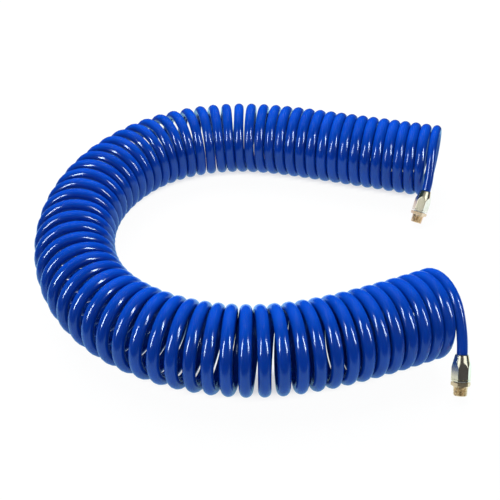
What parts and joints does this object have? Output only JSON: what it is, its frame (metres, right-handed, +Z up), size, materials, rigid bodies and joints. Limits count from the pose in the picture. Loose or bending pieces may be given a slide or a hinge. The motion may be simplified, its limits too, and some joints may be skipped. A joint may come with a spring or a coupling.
{
  "type": "coiled air hose",
  "caption": "Recoil air hose of blue polyurethane tube wound in a close coil, laid in a U, with a swivelling threaded fitting on each end.",
  "frame": {"origin": "on the floor, under the middle of the hose's outline as it lies", "axes": "+X to the open side of the U, where both ends and fittings are; +Y across the U, from the front leg to the back leg; +Z up from the floor"},
  "size_m": [0.4694, 0.4635, 0.086],
  "materials": {
    "hose": "glossy blue polyurethane, slightly translucent",
    "nickel": "bright nickel plating on brass",
    "brass": "bare turned brass",
    "steel": "spring steel, oiled",
    "seal": "black nitrile rubber",
    "nylon": "natural nylon"
  },
  "bodies": {
    "hose": {"hose_coil": "hose", "hose_tail_front": "hose", "hose_tail_back": "hose", "front_compression_nut": "nickel", "front_clamp_sleeve": "brass", "front_barbed_stem": "nickel", "front_thrust_washer": "nylon", "front_o_ring": "seal", "front_snap_ring": "steel", "back_compression_nut": "nickel", "back_clamp_sleeve": "brass", "back_barbed_stem": "nickel", "back_thrust_washer": "nylon", "back_o_ring": "seal", "back_snap_ring": "steel"},
    "front_stud": {"front_swivel_stud": "brass"},
    "back_stud": {"back_swivel_stud": "brass"}
  },
  "joints": [
    {"name": "front_swivel", "type": "hinge", "parent": "hose", "child": "front_stud", "pos_m": [0.183, -0.2245, 0.0046], "axis": [-0.1045, -0.5927, -0.7986], "continuous": true},
    {"name": "back_swivel", "type": "hinge", "parent": "hose", "child": "back_stud", "pos_m": [0.193, 0.0395, 0.0046], "axis": [-0.3452, -0.493, -0.7986], "continuous": true}
  ]
}
